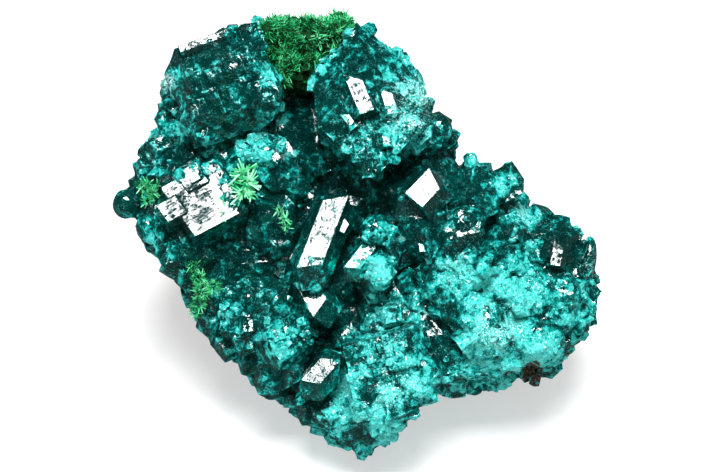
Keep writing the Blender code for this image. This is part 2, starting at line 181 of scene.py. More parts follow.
# The same for side faces, whose growths are long and lie along the crystal.
ALONG_SIDE = [
    (-0.6, 14.6, 7.0, (-33, 34), 98, 26, 0.3, 0.9),
    (3.4, 12.4, 7.0, (4, -1), 98, 40, 0.3, 1.0),
]

# Single facets that mirror the overhead light: across, up, the way the facet looks in degrees right and up,
# the way its crystal lies, radius, length, and how far it stands out.
BRIGHT_FACETS = [
    (0.1, 3.3, 0, 20, -12, 0.9, 3.0, 0.5), (0.3, 14.4, 0, 20, 112, 1.5, 5.6, 0.35),
    (3.3, 13.4, 1, 18, 106, 1.0, 3.4, 0.35), (3.1, 9.6, -2, 21, 100, 0.6, 2.0, 0.3),
    (-0.6, 11.4, 0, 19, 128, 0.7, 2.4, 0.3), (-0.9, 1.0, 2, 22, 60, 0.7, 1.8, 0.5),
    (6.6, -1.1, 0, 20, 100, 0.5, 1.2, 0.4), (-10.5, -8.2, 1, 20, 95, 0.8, 2.6, 0.3),
    (-10.3, -10.6, -2, 18, 95, 0.6, 1.3, 0.3), (7.3, 4.6, 0, 20, 46, 2.2, 4.4, 1.3),
    (-6.6, -6.2, 0, 22, 10, 0.4, 1.2, 0.3), (-5.0, -9.6, -1, 20, 60, 0.4, 0.9, 0.3),
    (-13.1, 19.7, -2, 21, 20, 0.65, 8.6, 0.2), (-14.6, 10.3, -6, 27, 70, 0.6, 1.9, 0.4),
    (-15.4, 5.6, 0, 21, 30, 0.3, 1.6, 0.3), (7.0, 9.9, 8, 14, 40, 0.9, 3.6, 0.3),
    (16.0, 0.8, 2, 20, 80, 0.6, 2.4, 0.3), (20.2, -1.6, 0, 20, 78, 1.0, 3.2, 0.5),
    (16.6, 2.2, 0, 20, 130, 0.4, 1.6, 0.3),
]

# Rounded lobes of massive dioptase, the widest at the lower right: across, up and out of the middle, half
# width, half height and half depth, and how far it is turned anticlockwise.
LOBES = [
    (15.9, -6.2, 2.6, 3.6, 1.5, 2.2, -22),
    (20.6, -6.6, 1.4, 2.2, 3.2, 2.4, -10),
    (12.6, -8.8, 3.2, 2.8, 3.6, 2.6, 20),
    (17.6, -10.2, 2.0, 3.6, 2.6, 2.6, -20),
    (8.6, -6.0, 3.6, 1.4, 3.0, 2.0, 20),
    (3.0, -16.0, 4.2, 3.8, 3.4, 2.2, 30),
    (6.4, -13.2, 4.4, 2.6, 2.2, 2.2, -30),
    (-22.9, 3.2, -0.6, 1.3, 1.5, 1.3, 0),
    (-20.6, 0.6, 1.0, 1.1, 1.4, 1.2, 20),
    (2.1, 0.5, 4.2, 1.6, 1.7, 1.5, 0),
    (2.5, -3.5, 4.9, 1.35, 1.9, 1.4, 0),
    (8.4, 10.6, 1.6, 1.4, 1.6, 1.4, 0),
    (-7.6, -6.6, 3.6, 1.5, 1.8, 1.2, 15),
    (14.6, 4.6, 1.8, 1.3, 1.5, 1.4, 0),
    (10.8, 1.2, 3.4, 2.3, 2.0, 1.7, 20),
    (23.4, -2.4, -1.0, 0.9, 2.4, 1.6, -8),
]

# Stubby crystals, most of them on the rim: across, up and radius.
RIM = [
    (-19.4, 8.6, 1.5), (-20.6, 6.4, 1.3), (-18.8, 1.0, 1.4), (-17.6, -1.2, 1.5), (-17.0, -3.6, 1.3),
    (-14.2, -8.6, 1.7), (-12.6, -11.2, 1.6), (-10.6, -12.6, 1.4), (-8.6, -14.2, 1.8), (-6.4, -16.0, 1.4),
    (-4.6, -17.6, 1.4), (-18.4, 14.6, 1.2), (-18.8, 12.0, 1.3), (11.4, 8.8, 1.4), (13.2, 6.4, 1.5),
    (16.4, 3.6, 1.4), (18.6, 2.2, 1.5), (21.2, -0.4, 1.6), (22.2, -5.0, 1.5), (22.6, -8.6, 1.3),
    (-9.6, -3.6, 1.6), (-7.6, -1.0, 1.4), (-11.8, -1.2, 1.5), (-9.0, 3.0, 1.3), (-5.6, 5.2, 1.4),
    (4.6, -0.6, 1.2), (12.6, -2.4, 1.3), (15.6, 0.6, 1.8), (8.0, 2.0, 1.0), (-0.2, -6.2, 1.3),
    (22.8, -3.4, 0.9), (22.6, -7.0, 1.1), (21.8, -10.2, 1.2), (20.2, -12.0, 1.1), (14.0, -13.6, 1.2),
]
RIM_LENGTH, RIM_TIP = 2.2, 0.6  # length of a stubby crystal and how far its tip stands out, in radii
RIM_UPWARD, RIM_FACING = (0, 10), (20, 60)  # degrees right and up that it leans and that a tip face looks


def select_only(piece):
    """Makes this the one selected and active object."""
    bpy.ops.object.select_all(action="DESELECT")
    piece.select_set(True)
    bpy.context.view_layer.objects.active = piece


def copy_of_node(node_name, piece_name):
    """A merged copy of a source node, to be worked on as a piece of its own."""
    source = frame["nodes"][node_name]
    piece = source.copy()
    piece.data = source.data.copy()
    piece.name = piece_name
    piece.parent = None
    piece.data.materials.clear()
    bpy.context.scene.collection.objects.link(piece)
    select_only(piece)
    bpy.ops.object.mode_set(mode="EDIT")
    bpy.ops.mesh.select_all(action="SELECT")
    bpy.ops.mesh.remove_doubles(threshold=WELD * MM)
    bpy.ops.object.mode_set(mode="OBJECT")
    return piece


def pattern_crystal(name):
    """One dioptase crystal of radius 1, its tip at 0: a six-sided prism cut by three sloping faces."""
    bpy.ops.mesh.primitive_cylinder_add(
        vertices=6, radius=1.0, depth=CRYSTAL_LENGTH, location=(0, 0, -CRYSTAL_LENGTH / 2),
        rotation=(0, 0, HALF_SIDE),
    )
    crystal = bpy.context.object
    crystal.name = name
    bpy.ops.object.transform_apply(location=True, rotation=True, scale=True)
    bpy.ops.object.mode_set(mode="EDIT")
    for third in range(3):
        turn = math.tau * third / 3
        sideways = math.sin(TIP_ANGLE)
        bpy.ops.mesh.select_all(action="SELECT")
        bpy.ops.mesh.bisect(
            plane_co=(0, 0, 0), use_fill=True, clear_outer=True,
            plane_no=(sideways * math.cos(turn), sideways * math.sin(turn), math.cos(TIP_ANGLE)),
        )
    bpy.ops.object.mode_set(mode="OBJECT")
    return crystal


def along_face(normal, degrees):
    """The unit direction in a facet, seen from the camera at this angle anticlockwise from the right."""
    flat = looking(90, 0) * math.cos(math.radians(degrees))
    flat += looking(0, 90) * math.sin(math.radians(degrees))
    return (flat - OUTWARD * flat.dot(normal) / OUTWARD.dot(normal)).normalized()


def turned(normal, axis):
    """The rotation that stands a crystal along the axis, its first tip face towards the normal."""
    across = (normal - axis * normal.dot(axis)).normalized()
    return Matrix((across, axis.cross(across), axis)).transposed().to_4x4()


def seat(across, up):
    """Where the camera's straight view meets the bare crystal mass, and how that spot looks."""
    found, place, normal, _ = bare_cluster.ray_cast(on_face(across, up, LOOK_FROM), -OUTWARD)
    return (place, normal) if found else (None, None)


def chance_seat(across, up, reach, normal, smallest, largest):
    """A chance spot on a face, None where another face lies there, and the radius of its growth."""
    away, turn = reach * math.sqrt(chance.random()), chance.uniform(0, math.tau)
    radius = smallest + (largest - smallest) * chance.random() ** 2
    place, found_normal = seat(across + away * math.cos(turn), up + away * math.sin(turn))
    if place is None or found_normal.dot(normal) < SAME_WAY:
        return None, radius
    return place, radius


def set_crystal(tip, rotation, radius, length):
    """A copy of the pattern crystal with its own mesh, finished in place, among the growths."""
    copied = crystal.copy()
    copied.data = crystal.data.copy()
    stretch = Matrix.Diagonal((radius * MM, radius * MM, length * MM / CRYSTAL_LENGTH, 1.0))
    copied.data.transform(Matrix.Translation(tip) @ rotation @ stretch)
    growths.objects.link(copied)


def lay_crystal(place, normal, axis, lean, radius, length, proud):
    """A crystal that lies along the surface and shows one side of its prism, standing this far out."""
    side_on = turned(normal, axis) @ Matrix.Rotation(HALF_SIDE, 4, "Z")
    depth = radius * math.cos(HALF_SIDE) - proud
    tip = place + (axis * length / 2 - normal * depth) * MM
    set_crystal(tip, lean @ side_on, radius, length)


cluster = copy_of_node("dioptase_cluster", "dioptase_crystals")
bare_cluster = copy_of_node("dioptase_cluster", "bare_cluster")
crystal = pattern_crystal("pattern_crystal")
growths = bpy.data.collections.new("growths")
bpy.context.scene.collection.children.link(growths)
chance = random.Random(GROWTH_SEED)

for across, up, reach, looks, toward, count, smallest, largest in IN_STEP:
    normal = looking(*looks)
    slant = along_face(normal, toward)
    axis = normal * math.cos(TIP_ANGLE) + slant * math.sin(TIP_ANGLE)
    for _ in range(count):
        place, radius = chance_seat(across, up, reach, normal, smallest, largest)
        if place is not None:
            lean = Matrix.Rotation(math.radians(chance.gauss(0, IN_STEP_WANDER)), 4, slant)
            tip = place + (slant * FACE_CENTRE * radius + normal * chance.uniform(*PROUD)) * MM
            set_crystal(tip, lean @ turned(normal, axis), radius, radius * STUBBY)

for across, up, reach, looks, toward, count, smallest, largest in ALONG_SIDE:
    normal = looking(*looks)
    axis = along_face(normal, toward)
    for _ in range(count):
        place, radius = chance_seat(across, up, reach, normal, smallest, largest)
        if place is not None:
            lean = Matrix.Rotation(math.radians(chance.gauss(0, SIDE_WANDER)), 4, axis)
            length = radius * chance.uniform(STUBBY, SLENDER)
            lay_crystal(place, normal, axis, lean, radius, length, chance.uniform(*PROUD))

for across, up, right, upward, toward, radius, length, proud in BRIGHT_FACETS:
    normal = looking(right, upward)
    place, _ = seat(across, up)
    level = Matrix.Identity(4)
    lay_crystal(place, normal, along_face(normal, toward), level, radius, length, proud)

for across, up, out, wide, high, deep, turn in LOBES:
    bpy.ops.mesh.primitive_ico_sphere_add(subdivisions=3, radius=1.0)
    lobe = bpy.context.object
    spun = Matrix.Rotation(FACE_LEAN, 4, "X") @ Matrix.Rotation(math.radians(turn), 4, "Z")
    stretch = Matrix.Diagonal((wide * MM, high * MM, deep * MM, 1.0))
    lobe.data.transform(Matrix.Translation(on_face(across, up, out)) @ spun @ stretch)
    lobe.users_collection[0].objects.unlink(lobe)
    growths.objects.link(lobe)

for across, up, radius in RIM:
    place, normal = seat(across, up)
    if place is not None:
        lean = Vector([chance.gauss(0, RIM_WANDER) for _ in range(3)])
        axis = (normal + looking(*RIM_UPWARD) + lean).normalized()
        tip = place + axis * RIM_TIP * radius * MM
        set_crystal(tip, turned(looking(*RIM_FACING), axis), radius, radius * RIM_LENGTH)

union = cluster.modifiers.new("grown_together", "BOOLEAN")
union.operation = "UNION"
union.solver = "MANIFOLD"
union.operand_type = "COLLECTION"
union.collection = growths
select_only(cluster)
bpy.ops.object.modifier_apply(modifier=union.name)
for shape in list(growths.objects):
    bpy.data.objects.remove(shape)
bpy.data.collections.remove(growths)

# Where the surface is pale and drusy, or clean below nought: across, up, reach in millimetres, and how
# much. Each patch covers those before it.
DRUSY = [
    (15.1, -8.9, 7.0, 0.98), (2.1, -16.4, 6.5, 0.95), (-7.1, -9.9, 3.0, 0.6), (-12.1, -8.4, 3.0, 0.35),
    (2.8, -7.2, 2.0, 0.75), (2.4, -3.5, 1.7, 1.0), (2.2, 0.5, 1.9, 0.4), (10.1, -3.9, 2.6, 0.8),
    (15.1, 5.1, 1.4, 0.7), (17.0, 2.0, 1.4, 0.8), (18.6, -1.4, 1.6, 0.8), (-13.9, 9.6, 2.0, 0.6),
    (-9.6, 9.1, 2.2, 0.85), (-6.4, 9.0, 1.4, 0.7), (-8.4, 15.6, 1.2, 0.7), (-7.2, 12.0, 1.2, 0.6),
    (-9.9, 20.6, 1.4, 0.8), (-18.0, 15.0, 1.6, 0.7), (-17.0, 11.5, 2.2, 0.45), (-20.2, 7.5, 3.0, 0.4),
    (-20.0, 2.0, 2.0, 0.4), (-19.5, -1.5, 2.0, 0.45), (4.8, 14.5, 3.0, 0.5), (5.2, 10.0, 2.5, 0.6),
    (6.8, 14.5, 1.6, 0.8), (0.0, 8.0, 3.0, 0.4), (6.4, 8.4, 1.6, 0.4), (2.0, -12.0, 3.0, 0.5),
    (6.0, -8.0, 3.0, 0.5), (-13.0, 13.0, 3.5, 0.1), (9.0, -9.0, 1.8, 0.1), (22.0, -8.0, 2.4, 0.6),
    (22.9, -5.2, 1.8, 0.45), (-3.0, -14.0, 1.6, 0.1), (-5.2, 10.5, 1.8, -0.1), (-5.0, 14.5, 1.5, -0.1),
    (-2.6, -9.0, 1.8, -0.1), (10.9, 1.3, 2.4, 0.25), (13.8, -7.9, 1.4, 0.4), (19.0, -8.6, 1.6, 0.5),
    (-16.2, 2.9, 3.2, -0.6), (-3.1, 0.5, 2.4, -0.34), (-1.6, 3.2, 2.0, -0.34), (6.9, 4.5, 2.2, -0.25),
    (0.3, 14.4, 1.0, -0.45), (3.3, 13.4, 0.8, -0.3), (-3.3, -13.3, 1.8, -0.4), (-3.6, -16.6, 1.6, -0.4),
    (-4.0, 15.4, 0.5, 0.9), (-3.3, 16.4, 0.5, 0.9), (-2.6, 17.3, 0.5, 0.9), (-1.9, 18.2, 0.5, 0.9),
    (-1.2, 19.1, 0.5, 0.9), (-0.5, 20.0, 0.5, 0.9), (-12.0, 4.6, 1.6, 0.35), (-14.6, 7.0, 1.5, 0.3),
    (-12.6, 6.4, 1.4, 0.35), (20.2, -1.6, 1.8, -0.6), (-15.6, 18.8, 0.9, -0.5), (-13.0, 19.7, 0.9, -0.5),
    (-10.6, 20.6, 0.9, -0.5), (1.4, -15.5, 1.0, 0.2), (0.4, -20.0, 1.8, 0.1), (5.9, -16.6, 1.2, 0.3),
    (8.6, -11.6, 1.4, 0.1), (-1.1, -11.7, 1.6, 0.3), (3.4, -17.6, 1.2, 0.5), (-4.8, 22.6, 3.4, 0.8),
]
# Where the earthy rock shows through the crust.
EARTHY = [(18.0, -13.8, 1.7, 0.62), (15.6, -13.6, 1.2, 0.5), (21.4, -11.4, 1.0, 0.5)]
# Where fine white frost lies on the crystals; the whole patch on the far right rim crystal is painted glow,
# the light shining through its thin edge from behind.
FROST_AND_GLOW = [
    (5.6, 13.0, 3.6, 0.8), (-18.6, 15.2, 1.2, 1.0), (10.0, -3.2, 2.0, 0.4), (11.2, 0.2, 1.5, 0.7),
    (14.0, -9.0, 2.4, 0.6), (23.6, -2.6, 1.6, 1.0), (3.0, -10.0, 2.5, 0.5), (-9.4, 8.4, 2.2, 0.1),
    (0.4, 10.0, 2.5, 0.5), (16.2, 2.4, 1.4, 0.5), (4.0, -15.0, 3.0, 0.4),
]
# How the striations of the clean facets lie, in radians anticlockwise from the right.
LIE = [(-16.2, 2.9, 4.5, 0.5), (-13.0, 19.5, 4.5, 0.35), (6.9, 4.5, 2.5, 0.8), (0.3, 14.4, 3.0, 1.95)]
OTHER_LIE = 1.2
BARE_DRUSY = 0.12  # between the patches
SIDE_DRUSY, SIDE_FROST, SIDE_DEPTH = 0.45, 0.2, 2.5  # round the sides, and how far back they are so
SIDE_MIDDLE, SIDE_SWING, SIDE_CLOUDS = 0.55, 1.1, 0.16  # how uneven that is, and closeness per millimetre
FADE_START, FADE_RATE = 1.9, 1.5  # a patch is whole up to 0.6 of its reach and gone at 1.27
ROUGHER = 1.4  # the druse is at its roughest from a drusy number of about 0.7 up
CLEAR_OF_FLOOR = 1.6  # no druse lower than this, in millimetres
FINEST_EDGE = 0.46  # edges longer than this are split, in millimetres
COARSER_BEHIND = 1.8  # times as long behind the crystal face
SPLIT_ROUNDS = 6
ROUGHNESS = [(0.45, 0.5), (1.1, 0.22), (2.6, 0.07)]  # of the druse: closeness per millimetre, and height
SHORTEST_EDGE = 0.02  # edges shorter than this say nothing about the shape, in millimetres


def in_face(place):
    """A place in metres as across, up and out of the crystal face in millimetres."""
    return LEAN_BACK.transposed() @ (place - FACE_MIDDLE) / MM


def between(value, lowest=0.0, highest=1.0):
    """The value, held between its bounds."""
    return min(highest, max(lowest, value))


def paint(piece, name, patches, base, side):
    """Writes a number on every corner of a piece: its base, another round the sides, and the patches."""
    layer = piece.data.attributes.new(name, "FLOAT", "POINT")
    for vertex, item in zip(piece.data.vertices, layer.data):
        here = in_face(vertex.co)
        here_side = side * (SIDE_MIDDLE + SIDE_SWING * noise.noise(vertex.co / MM * SIDE_CLOUDS))
        value = base + (here_side - base) * between(-here.z / SIDE_DEPTH)
        for across, up, reach, amount in patches:
            away = math.hypot(here.x - across, here.y - up) / reach
            value += (amount - value) * between(FADE_START - FADE_RATE * away)
        item.value = value if vertex.co.z > CLEAR_OF_FLOOR * MM else 0.0


def split_long_edges(piece, longest, behind=1.0):
    """Halves every edge longer than this, until none is left; behind the crystal face it may be longer."""
    select_only(piece)
    for _ in range(SPLIT_ROUNDS):
        bpy.ops.object.mode_set(mode="EDIT")
        bpy.ops.mesh.select_mode(type="EDGE")
        bpy.ops.mesh.select_all(action="DESELECT")
        bpy.ops.object.mode_set(mode="OBJECT")
        corners = piece.data.vertices
        long_edges = []
        for edge in piece.data.edges:
            first, second = (corners[corner].co for corner in edge.vertices)
            limit = longest * (behind if in_face(first).z < -SIDE_DEPTH else 1.0)
            if (first - second).length > limit * MM:
                long_edges.append(edge)
        if not long_edges:
            break
        for edge in long_edges:
            edge.select = True
        bpy.ops.object.mode_set(mode="EDIT")
        bpy.ops.mesh.subdivide(number_cuts=1)
        bpy.ops.mesh.select_all(action="SELECT")
        bpy.ops.mesh.quads_convert_to_tris()
        bpy.ops.object.mode_set(mode="OBJECT")


def mark_edges_for_painted_light(piece):
    """Writes how far each corner stands out of those round it, for a painted highlight on edges and painted
    shade in clefts.
    """
    corners = piece.data.vertices
    sums = [Vector() for _ in corners]
    counts = [0] * len(corners)
    for edge in piece.data.edges:
        first, second = edge.vertices
        along = corners[second].co - corners[first].co
        length = along.length
        if length > SHORTEST_EDGE * MM:
            sums[first] += along / length
            sums[second] -= along / length
            for end in (first, second):
                counts[end] += 1
    # The edge number is painted light: the crystal's tone is lighter on outstanding edges and darker in
    # clefts.
    layer = piece.data.attributes.new("edge", "FLOAT", "POINT")
    for vertex, total, count, item in zip(corners, sums, counts, layer.data):
        item.value = -total.dot(vertex.normal) / count if count else 0.0


def roughen(piece, heights):
    """Pushes the corners in and out where the piece is drusy, by noise of these closenesses and heights."""
    painted = piece.data.attributes["drusy"].data
    pushes = [vertex.normal.copy() for vertex in piece.data.vertices]
    for vertex, item, push in zip(piece.data.vertices, painted, pushes):
        place = vertex.co / MM
        rise = sum(noise.noise(place * closeness) * height for closeness, height in heights)
        vertex.co += push * rise * between(ROUGHER * item.value) * MM


split_long_edges(cluster, FINEST_EDGE, COARSER_BEHIND)
paint(cluster, "drusy", DRUSY, BARE_DRUSY, SIDE_DRUSY)
paint(cluster, "earthy", EARTHY, 0.0, 0.0)
paint(cluster, "frost_and_glow", FROST_AND_GLOW, 0.0, SIDE_FROST)
paint(cluster, "lie", LIE, OTHER_LIE, OTHER_LIE)
mark_edges_for_painted_light(cluster)
roughen(cluster, ROUGHNESS)

CLOUDS, PATCHES, FINE, DOTS = 0.40, 1.5, 6.5, 14.0  # closeness of the shades of colour, per millimetre
GRAINS, FACETS = 6.5, 1.6  # closeness of the druse's own faces, per millimetre
DIOPTASE_TONES = [
    (0.0, (0.0, 0.20, 0.18)), (0.35, (0.0, 0.34, 0.305)),
    (0.65, (0.0, 0.47, 0.43)), (1.0, (0.09, 0.64, 0.59)),
]
SOIL_TONES = [(0.4, (0.005, 0.004, 0.004)), (0.52, (0.07, 0.03, 0.02)), (0.65, (0.22, 0.20, 0.14))]
# The dust colour paints pale grains of the druse and also painted sparkle, white glints put into the
# colour.
DUST_AND_SPARKLE_COLOUR, FROST_AND_GLOW_COLOUR = (0.38, 0.90, 0.86, 1), (0.74, 0.93, 0.91, 1)
CLEAR_SHARE = 0.85  # how much light a clean face lets in
DIOPTASE_IOR = 1.66
DEEP_COLOUR, DEEP_DENSITY = (0.0, 0.76, 0.70, 1), 350.0  # what the crystal takes out of the light
SWELL = 0.06  # how deep the gentle swells in a face are, in millimetres
STRIATION = (0.5, 3.4, 1.0)  # closeness of the striations along, across and into a facet, per millimetre


def blank(name):
    """A new material, its node tree, its shader and the place on the piece in millimetres."""
    finish = bpy.data.materials.new(name)
    finish.use_nodes = True
    tree = finish.node_tree
    place = node(tree, "TexCoord").outputs["Object"]
    in_mm = node(tree, "Mapping", {"Vector": place, "Scale": (1 / MM, 1 / MM, 1 / MM)}).outputs[0]
    return finish, tree, tree.nodes["Principled BSDF"], in_mm


def painted_on(tree, name):
    """The number painted on the piece under this name."""
    return node(tree, "Attribute", attribute_name=name).outputs["Fac"]


def ramp(tree, factor, stops):
    """A colour ramp through (place, colour) stops."""
    made = node(tree, "ValToRGB", {"Fac": factor})
    band = made.color_ramp.elements
    while len(band) < len(stops):
        band.new(0.5)
    for element, (place, colour) in zip(band, stops):
        element.position = place
        element.color = (*colour, 1)
    return made.outputs["Color"]


def smooth_step(tree, value, low, high, to_low=0.0, to_high=1.0):
    """A value eased from its low and high ends to these."""
    ends = {0: value, 1: low, 2: high, 3: to_low, 4: to_high}
    return node(tree, "MapRange", ends, interpolation_type="SMOOTHSTEP").outputs[0]


def maths(tree, operation, first, second):
    """A sum, product or comparison of two numbers."""
    return node(tree, "Math", {0: first, 1: second}, operation=operation).outputs[0]


def weighted(tree, *parts):
    """The sum of these values, each times its weight."""
    total = 0.0
    for value, weight in parts:
        total = maths(tree, "ADD", total, maths(tree, "MULTIPLY", value, weight))
    return total


def vectors(tree, operation, first, second=(0, 0, 0)):
    """A sum, product or unit length of vectors."""
    return node(tree, "VectorMath", {0: first, 1: second}, operation=operation).outputs[0]


def noise_at(tree, place, closeness, detail, roughness=0.6):
    """Soft noise between nought and one."""
    settings = {"Vector": place, "Scale": closeness, "Detail": detail, "Roughness": roughness}
    return node(tree, "TexNoise", settings).outputs["Fac"]


def cells(tree, place, closeness):
    """A chance colour for each cell of a broken pattern."""
    return node(tree, "TexVoronoi", {"Vector": place, "Scale": closeness}).outputs["Color"]


def slopes(tree, chance_colours, steepness):
    """Cells' colours as slopes of the surface."""
    centred = vectors(tree, "SUBTRACT", chance_colours, (0.5, 0.5, 0.5))
    return node(tree, "VectorMath", {0: centred, "Scale": steepness}, operation="SCALE").outputs[0]


def striations(tree, in_mm, lie):
    """Noise drawn out along the crystals, as far from its middle as nought to a half."""
    settings = {"Vector": in_mm, "Rotation": (FACE_LEAN, 0.0, 0.0)}
    flat = node(tree, "Mapping", settings, vector_type="TEXTURE").outputs[0]
    turn = {"Vector": flat, "Angle": maths(tree, "MULTIPLY", lie, -1.0)}
    spun = node(tree, "VectorRotate", turn, rotation_type="Z_AXIS").outputs[0]
    seams = noise_at(tree, vectors(tree, "MULTIPLY", spun, STRIATION), 1.0, 3.0, 0.65)
    off_seam = maths(tree, "SUBTRACT", seams, 0.5)
    return node(tree, "Math", {0: off_seam}, operation="ABSOLUTE").outputs[0]


def dioptase(name, shift=0.0):
    """Glassy blue-green crystal, dark where it is clear and pale and sparkling where it is drusy; its pale
    dots are partly pale grains and partly painted sparkle.
    """
    finish, tree, shader, in_mm = blank(name)
    drusy, tint, edge = (painted_on(tree, each) for each in ("drusy", "tint", "edge"))
    earthy, frost_and_glow, lie = (painted_on(tree, each) for each in ("earthy", "frost_and_glow", "lie"))
    cloudy = noise_at(tree, in_mm, CLOUDS, 3.0)
    patchy = noise_at(tree, in_mm, PATCHES, 4.0, 0.65)
    fine = noise_at(tree, in_mm, FINE, 4.0, 0.75)
    dots = noise_at(tree, in_mm, DOTS, 1.0)
    grains, facets = cells(tree, in_mm, GRAINS), cells(tree, in_mm, FACETS)
    facet_tone = node(tree, "SeparateColor", {0: facets}).outputs[0]

    # Clean faces are scratched along their striations, and the cleanest are the most worn.
    clean = smooth_step(tree, drusy, -0.2, -0.08, 1.0, 0.0)
    worn = smooth_step(tree, drusy, -0.6, -0.2, 1.0, 0.1)
    seam_width = smooth_step(tree, patchy, 0.38, 0.62, 0.006, 0.12)
    off_seam = striations(tree, in_mm, lie)
    scratch = maths(tree, "LESS_THAN", off_seam, maths(tree, "MULTIPLY", seam_width, worn))
    scratch = maths(tree, "MULTIPLY", scratch, clean)

    # The tone runs from nought in dark clear crystal to one in pale druse.
    shades = [(cloudy, 0.5), (patchy, 0.6), (fine, 0.35), (facet_tone, 0.16)]
    # The edge number lightens the tone on outstanding edges, a painted highlight, and darkens it in clefts,
    # painted shade.
    shades += [(drusy, 0.26), (edge, 0.22), (tint, shift)]
    tone = smooth_step(tree, weighted(tree, *shades), 0.70, 1.16)
    # Pale dots: partly pale grains of the druse, partly painted sparkle on the surface and painted glints
    # from inside the crystal.
    dust_and_sparkle = weighted(tree, (fine, 1.0), (drusy, 0.10), (tone, 0.08), (frost_and_glow, 0.12))
    dust_and_sparkle = smooth_step(tree, dust_and_sparkle, 0.73, 0.84)
    specks_and_sparkle = smooth_step(tree, weighted(tree, (dots, 1.0), (patchy, 0.3)), 0.82, 0.90)
    pale = maths(tree, "MAXIMUM", dust_and_sparkle, specks_and_sparkle)
    pale_or_drusy = maths(tree, "ADD", tone, pale)
    # The near-white frost colour is also the painted glow on the far right rim crystal.
    snow = mix_colour(tree, frost_and_glow, DUST_AND_SPARKLE_COLOUR, FROST_AND_GLOW_COLOUR)
    coloured = mix_colour(tree, pale, ramp(tree, tone, DIOPTASE_TONES), snow)
    earth_share = smooth_step(tree, maths(tree, "ADD", earthy, patchy), 0.98, 1.08)
    coloured = mix_colour(tree, earth_share, coloured, ramp(tree, fine, SOIL_TONES))
    tree.links.new(coloured, shader.inputs["Base Color"])

    gloss = smooth_step(tree, tone, 0, 1, 0.08, 0.24)
    dulled = smooth_step(tree, weighted(tree, (patchy, 1.0), (worn, 0.06)), 0.44, 0.62, 0.0, 0.32)
    dulled = maths(tree, "MULTIPLY", dulled, maths(tree, "MULTIPLY", clean, worn))
    gloss = weighted(tree, (gloss, 1.0), (earth_share, 0.6), (dulled, 1.0))
    tree.links.new(gloss, shader.inputs["Roughness"])
    shader.inputs["IOR"].default_value = DIOPTASE_IOR
    clear = smooth_step(tree, pale_or_drusy, 0.3, 0.9, CLEAR_SHARE, 0.0)
    clear = maths(tree, "MULTIPLY", clear, maths(tree, "SUBTRACT", 1.0, earth_share))
    tree.links.new(clear, shader.inputs["Transmission Weight"])

    steep = smooth_step(tree, pale_or_drusy, 0.3, 1.0, 0.04, 1.1)
    steep = weighted(tree, (steep, 1.0), (scratch, 0.9))
    tilted = smooth_step(tree, drusy, 0.0, 0.3, 0.0, 0.28)
    slope = vectors(tree, "ADD", slopes(tree, grains, steep), slopes(tree, facets, tilted))
    facing = vectors(tree, "ADD", node(tree, "NewGeometry").outputs["Normal"], slope)
    facing = vectors(tree, "NORMALIZE", facing)
    swell = {"Height": cloudy, "Distance": SWELL * MM, "Strength": 0.3, "Normal": facing}
    tree.links.new(node(tree, "Bump", swell).outputs[0], shader.inputs["Normal"])
    depth = node(tree, "VolumeAbsorption", {"Color": DEEP_COLOUR, "Density": DEEP_DENSITY})
    tree.links.new(depth.outputs[0], tree.nodes["Material Output"].inputs["Volume"])
    return finish


cluster.data.materials.clear()
cluster.data.materials.append(dioptase("dioptase_glass"))
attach(cluster, "root")
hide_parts("dioptase_cluster")

# Drusy crystals.
# Very small dioptase crystals that cover the crust and parts of the large crystals, sown on the crystal
# mass and sunk into it. They are the same mineral, each a little lighter or darker than the next.

DRUSE_PER_MM2, DRUSE_SIZES, DRUSE_SPREAD = 0.75, (0.2, 0.78), 0.9  # radii in millimetres, spread in radians
DRUSE_TIP = 0.75  # how far a drusy crystal stands out of the surface, in radii
DRUSE_SHADES = 0.15
FEWER_LARGE = 2.5  # the power that makes large ones rare


